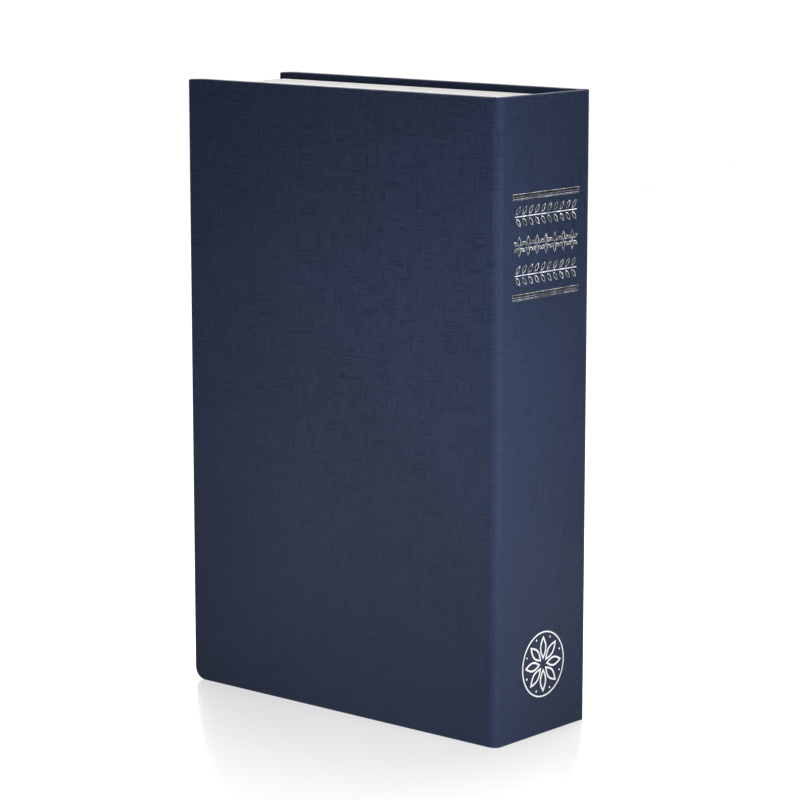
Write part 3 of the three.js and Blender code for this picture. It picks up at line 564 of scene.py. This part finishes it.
def joint_strap():
    """The cloth round the joint between the spine and the front cover."""
    outer = joint_profile(1, SKIN)
    inner = joint_profile(1, 2 * CLOTH)
    form = bmesh.new()
    loop = outer + inner[::-1]
    heights = []
    for i in range(EDGE_STEPS + 1):
        turn = math.radians(90 * i / EDGE_STEPS)
        heights.append((CLOTH * (1 - math.cos(turn)), CLOTH * (1 - math.sin(turn))))
    rows = heights + [(CLOTH + (height - 2 * CLOTH) * i / STRAP_ROWS, 0.0) for i in range(1, STRAP_ROWS)]
    rows += [(height - z, inset) for z, inset in reversed(heights)]
    rings = []
    middle = [((ax + bx) / 2, (ay + by) / 2) for (ax, ay), (bx, by) in zip(outer, inner)]
    centre = middle + middle[::-1]
    for z, inset in rows:
        share = inset / CLOTH
        ring = [form.verts.new((x + (cx - x) * share * STRAP_END, y + (cy - y) * share * STRAP_END, z))
                for (x, y), (cx, cy) in zip(loop, centre)]
        rings.append(ring)
    count = len(loop)
    for low, high in zip(rings, rings[1:]):
        for i in range(count):
            j = (i + 1) % count
            form.faces.new((low[i], low[j], high[j], high[i]))
    for ring in (rings[0], rings[-1]):
        half = count // 2
        for i in range(half - 1):
            form.faces.new((ring[i], ring[i + 1], ring[count - 2 - i], ring[count - 1 - i]))
    strap = to_object("cloth_front_joint", form, "navy_covering")
    smooth(strap, STRAP_SHARP)
    apply_modifiers(strap)
    mark_joint_highlight(strap)
    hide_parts("wrap_front_joint")
    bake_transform(strap)
    return strap


def page_edges():
    """Page edges round the head, fore edge and tail, as a ridged skin on the frame."""
    chance = random.Random(7)
    low, high = page_low.y + PAGE_RELIEF, page_high.y - PAGE_RELIEF
    count = round((high - low) / PAGE_PITCH)
    pitch = (high - low) / count
    profile = []
    for i in range(count):
        y = low + (high - low) * i / count
        crown = PAGE_SKIN - PAGE_RELIEF * chance.uniform(0.0, CROWN_DROP)
        valley = PAGE_SKIN - PAGE_RELIEF * chance.uniform(VALLEY_LEAST, 1.0)
        profile += [(y, valley), (y + CROWN[0] * pitch, crown), (y + CROWN[1] * pitch, crown)]
    profile += [(high, 0.0), (high, -PAGE_SKIN), (low, -PAGE_SKIN), (low, 0.0)]
    left, right = page_low.x, page_high.x - PAGE_SHORT
    path = [(right, page_low.z, 0.0, -1.0)]
    for corner_x, corner_z, start in (
        (left + PAGE_CORNER, page_low.z + PAGE_CORNER, 270),
        (left + PAGE_CORNER, page_high.z - PAGE_CORNER, 180),
    ):
        for i in range(PAGE_CORNER_STEPS + 1):
            turn = math.radians(start - 90 * i / PAGE_CORNER_STEPS)
            out = (math.cos(turn), math.sin(turn))
            path.append((corner_x + PAGE_CORNER * out[0], corner_z + PAGE_CORNER * out[1], *out))
    path.append((right, page_high.z, 0.0, 1.0))
    form = bmesh.new()
    rings = [
        [form.verts.new((x + nx * d, y, z + nz * d)) for y, d in profile] for x, z, nx, nz in path
    ]
    size = len(profile)
    for one, other in zip(rings, rings[1:]):
        for i in range(size):
            j = (i + 1) % size
            form.faces.new((one[i], one[j], other[j], other[i]))
    form.faces.new(rings[0])
    form.faces.new(rings[-1])
    skin = to_object("page_edges", form, "pages")
    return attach(skin, "book_body")


# Stamping
def stamp(name, shapes, rim, floor):
    """Pressed shapes on the spine, from closed outlines in Y and Z: a rim that stands up round a dished
    floor. The floor takes the second surface, a near-black metal painted as a dark reflection.
    """
    form = bmesh.new()
    for shape in shapes:
        area = sum(a[0] * b[1] - b[0] * a[1] for a, b in zip(shape, shape[1:] + shape[:1]))
        outline = shape if area > 0 else shape[::-1]
        base = [form.verts.new((spine_face - SKIN, y, z)) for y, z in outline]
        face = form.faces.new(base)
        extruded = bmesh.ops.extrude_face_region(form, geom=[face])["geom"]
        top = [item for item in extruded if isinstance(item, bmesh.types.BMFace)][0]
        bmesh.ops.translate(form, verts=top.verts, vec=(FOIL, 0, 0))
        for share in FOIL_RIM_STEPS:
            bmesh.ops.inset_region(form, faces=[top], thickness=FOIL_RIM * share, use_even_offset=True)
        bmesh.ops.translate(form, verts=top.verts, vec=(-FOIL_DISH, 0, 0))
        # the dished floor is near-black metal, a painted dark reflection
        top.material_index = 1
    obj = to_object(name, form, rim, floor)
    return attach(obj, "book_body")


def bar(middle_y, middle_z, width, tall):
    y, z = width / 2, tall / 2
    return [(middle_y - y, middle_z - z), (middle_y + y, middle_z - z),
            (middle_y + y, middle_z + z), (middle_y - y, middle_z + z)]


def petal(centre, angle, start, length, width):
    """A pointed leaf that starts that far from the centre and points along angle, in degrees."""
    along = Vector((math.cos(math.radians(angle)), math.sin(math.radians(angle))))
    aside = Vector((-along.y, along.x))
    origin = Vector(centre) + along * start
    steps = PETAL_STEPS
    right = [(i / steps, math.sin(math.pi * i / steps)) for i in range(steps + 1)]
    left = [(i / steps, -math.sin(math.pi * i / steps)) for i in range(steps - 1, 0, -1)]
    return [tuple(origin + along * length * t + aside * width / 2 * s) for t, s in right + left]


def lozenge(centre, width, tall):
    y, z = centre
    return [(y - width / 2, z), (y, z - tall / 2), (y + width / 2, z), (y, z + tall / 2)]


def rules():
    shapes = []
    for middle in (TOP_RULE, BOTTOM_RULE):
        shapes.append(bar(0.0, middle + (RULE_GAP + RULE_THIN) / 2, STAMP_WIDTH, RULE_THICK))
        shapes.append(bar(0.0, middle - (RULE_GAP + RULE_THICK) / 2, STAMP_WIDTH, RULE_THIN))
    # the rules' rims take the darker copy of the silver foil, a painted darker reflection
    return stamp("silver_rules", shapes, "rule_foil_painted_darker", "foil_painted_dark_reflection")


def spread(count):
    """Middles of that many motifs along a row."""
    return [ORNAMENT_WIDTH * ((i + 0.5) / count - 0.5) for i in range(count)]


def palmette(centre):
    """An upright leaf with two side leaves above and two below."""
    reach = ORNAMENT_HEIGHT / 2 + LEAF_OVERLAP
    leaves = [petal(centre, turn, -LEAF_OVERLAP, reach, LEAF_WIDTH) for turn in (90, 270)]
    side = SIDE_LENGTH * ORNAMENT_HEIGHT / 2
    leaves += [petal(centre, turn, SIDE_START, side, SIDE_WIDTH) for turn in SIDE_ANGLES]
    return leaves


def laurel(centre):
    """A pair of leaves of a laurel branch, one above the stem and one below it."""
    y, z = centre
    reach = ORNAMENT_HEIGHT / 2 / math.sin(math.radians(LAUREL_SLANT))
    foot = (y - reach / 2 * math.cos(math.radians(LAUREL_SLANT)), z)
    length = reach - LAUREL_START
    return [petal(foot, turn, LAUREL_START, length, LAUREL_WIDTH) for turn in (LAUREL_SLANT, -LAUREL_SLANT)]


def ornaments():
    shapes = []
    for middle, count, motif in zip(ORNAMENT_ROWS, (LAURELS, PALMETTES, LAURELS), (laurel, palmette, laurel)):
        for y in spread(count):
            shapes += motif((y, middle))
        if motif is laurel:
            shapes.append(bar(0.0, middle, ORNAMENT_WIDTH, STEM_WIDTH))
    return stamp("silver_ornaments", shapes, "silver_foil", "foil_painted_dark_reflection")


def ring_strip(centre, radius, width):
    """The outer and inner edges of a ring, as two half rings that close on themselves."""
    halves = []
    for start in (0, 180):
        turns = [math.radians(start + 180 * i / HALF_RING_STEPS) for i in range(HALF_RING_STEPS + 1)]
        outer = [(centre[0] + radius * math.cos(t), centre[1] + radius * math.sin(t)) for t in turns]
        inner = [(centre[0] + (radius - width) * math.cos(t), centre[1] + (radius - width) * math.sin(t))
                 for t in turns]
        halves.append(outer + inner[::-1])
    return halves


def flat_print(name, shapes, surface):
    """Thin printed shapes on the spine, from closed outlines in Y and Z."""
    form = bmesh.new()
    for shape in shapes:
        face = form.faces.new([form.verts.new((spine_face - SKIN, y, z)) for y, z in shape])
        extruded = bmesh.ops.extrude_face_region(form, geom=[face])["geom"]
        moved = [item for item in extruded if isinstance(item, bmesh.types.BMVert)]
        bmesh.ops.translate(form, verts=moved, vec=(FOIL, 0, 0))
    obj = to_object(name, form, surface)
    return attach(obj, "book_body")


def petal_line(centre, angle, start, length, width):
    """A leaf's outline as two bowed strips, thicker at the points."""
    outer = petal(centre, angle, start, length, width)
    inner = petal(centre, angle, start + PETAL_TIP, length - 2 * PETAL_TIP, width - 2 * PETAL_SIDE)
    half = len(outer) // 2
    right = outer[:half + 1] + inner[:half + 1][::-1]
    left = outer[half:] + outer[:1] + inner[:1] + inner[half:][::-1]
    return [right, left]


def rosette():
    """An eight-leaved flower in a ring."""
    shapes = ring_strip(ROSETTE_PLACE, ROSETTE_RADIUS, PRINT_LINE)
    y, z = ROSETTE_PLACE
    length = ROSETTE_RADIUS - 2 * PETAL_START
    dot_radius = ROSETTE_RADIUS - DOT_INSET
    for k in range(ROSETTE_PETALS):
        angle = 360 * k / ROSETTE_PETALS
        shapes += petal_line(ROSETTE_PLACE, angle, PETAL_START, length, PETAL_WIDTH)
        turn = math.radians(angle + 180 / ROSETTE_PETALS)
        place = (y + dot_radius * math.cos(turn), z + dot_radius * math.sin(turn))
        shapes.append(lozenge(place, DOT_SIZE, DOT_SIZE))
    return flat_print("white_rosette", shapes, "white_print")


# CAD nodes that keep their shape
def dress_nodes():
    slots = {part["node"]: part["material_slot"] for part in record["subparts"]}
    for name, obj in nodes.items():
        slot = slots[name]
        obj.data.materials.clear()
        obj.data.materials.append(materials[slot])
        if slot in SOFTENED:
            modifier = obj.modifiers.new("soft_edges", "BEVEL")
            modifier.width = SOFTENED[slot]
            modifier.segments = SOFTENED_STEPS
            modifier.limit_method = "ANGLE"
            modifier.angle_limit = math.radians(SOFTENED_ABOVE)


# Stage
def plain_floor():
    material, tree = start_material("studio_floor")
    tone = noise(tree, (6, 6, 6), 2.0)
    color = mix_color(tree, tone, (0.44, 0.44, 0.44), (0.46, 0.46, 0.46))
    finish_material(material, tree, color, levels(tree, tone, 0.3, 0.7, 0.24, 0.26), tone, 0.0001 * MM,
                    Specular_IOR_Level=0.5, Emission_Color=(1, 1, 1, 1), Emission_Strength=FLOOR_GLOW)
    form = bmesh.new()
    bmesh.ops.create_grid(form, x_segments=4, y_segments=4, size=FLOOR_REACH)
    mesh = bpy.data.meshes.new("studio_floor")
    form.to_mesh(mesh)
    form.free()
    mesh.materials.append(material)
    floor = link(bpy.data.objects.new("studio_floor", mesh))
    floor.visible_diffuse = False  # its glow whitens the picture without lighting the book


def place_light(name, data, place, target, power):
    data.energy = power
    light = link(bpy.data.objects.new(name, data))
    light.location = place
    aim = Vector(target) - Vector(place)
    light.rotation_euler = aim.to_track_quat("-Z", "Y").to_euler()
    light.visible_camera = False
    return light


def area_light(name, place, target, size, power):
    data = bpy.data.lights.new(name, "AREA")
    data.shape = "SQUARE"
    data.size = size
    return place_light(name, data, place, target, power)


def soft_spot(name, place, target, angle, radius, power):
    """A spot that fades from its middle to its edge."""
    data = bpy.data.lights.new(name, "SPOT")
    data.spot_size = math.radians(angle)
    data.spot_blend = 1.0
    data.shadow_soft_size = radius
    return place_light(name, data, place, target, power)


def studio_light():
    world = bpy.data.worlds.new("studio")
    bpy.context.scene.world = world
    world.use_nodes = True
    tree = world.node_tree
    tree.nodes.clear()
    path = add(tree, "LightPath")
    strength = WORLD_FILL
    for ray, seen in (("Is Glossy Ray", WORLD_IN_GLOSS), ("Is Camera Ray", WORLD_SEEN)):
        inputs = {"Value": path.outputs[ray], "To Min": strength, "To Max": seen}
        strength = add(tree, "MapRange", inputs).outputs["Result"]
    background = add(tree, "Background", {"Color": (1, 1, 1, 1), "Strength": strength})
    output = add(tree, "OutputWorld")
    tree.links.new(background.outputs[0], output.inputs["Surface"])
    area_light("pages_light", (-0.2, 0.35, 1.3), (0, 0, 0.24), 0.7, 12)
    area_light("rear_light", (-1.1, 0.9, 0.8), (0, 0, 0.12), 1.0, 9)
    area_light("back_light", (-0.1, 0.8, 0.3), (0, 0.03, 0.12), 0.4, 2.2)
    area_light("front_light", (0.58, -0.68, 0.13), (0.05, 0, 0.11), 0.2, 3.8)
    soft_spot("cover_light", (0.04, -0.50, 0.12), (0.060, -0.026, 0.098), 48, 0.05, 4.45)
    soft_spot("spine_light", (0.48, -0.02, 0.10), (0.077, -0.26, 0.09), 88, 0.05, 12.5)
    area_light("spine_head_light", (0.42, -0.08, 0.28), (0.077, 0, 0.20), 0.12, 0.5)
    for name, place, target, size, power in (
        ("cover_gloss", (-0.18, -0.34, 0.04), (0.04, -0.026, 0.09), 0.1, 0.76),
        ("spine_gloss", (0.34, 0.32, 0.02), (0.077, 0, 0.06), 0.1, 0.27),
        ("cover_foot_gloss", (-0.09, -0.10, 0.026), (0.0, -0.026, 0.03), 0.05, 0.015),
        ("spine_foot_gloss", (0.14, 0.083, 0.026), (0.077, 0, 0.026), 0.05, 0.015),
    ):
        area_light(name, place, target, size, power).visible_diffuse = False


def camera():
    azimuth, elevation = math.radians(CAMERA_AZIMUTH), math.radians(CAMERA_ELEVATION)
    back = Vector((math.sin(azimuth) * math.cos(elevation), -math.cos(azimuth) * math.cos(elevation),
                   math.sin(elevation)))
    right = Vector((math.cos(azimuth), math.sin(azimuth), 0))
    up = back.cross(right)
    data = bpy.data.cameras.new("camera")
    data.lens = CAMERA_LENS
    data.sensor_width = CAMERA_SENSOR
    data.clip_start, data.clip_end = CAMERA_CLIP
    obj = link(bpy.data.objects.new("camera", data))
    place = Vector((0, 0, height / 2)) + right * CAMERA_ASIDE + up * CAMERA_UP + back * CAMERA_DISTANCE
    obj.matrix_world = Matrix.Translation(place) @ Matrix((right, up, back)).transposed().to_4x4()
    bpy.context.scene.camera = obj


dress_nodes()
back_covering()
front_covering()
joint_strap()
page_edges()
rules()
ornaments()
rosette()
plain_floor()
studio_light()
camera()
bpy.context.scene.view_settings.view_transform = "Standard"
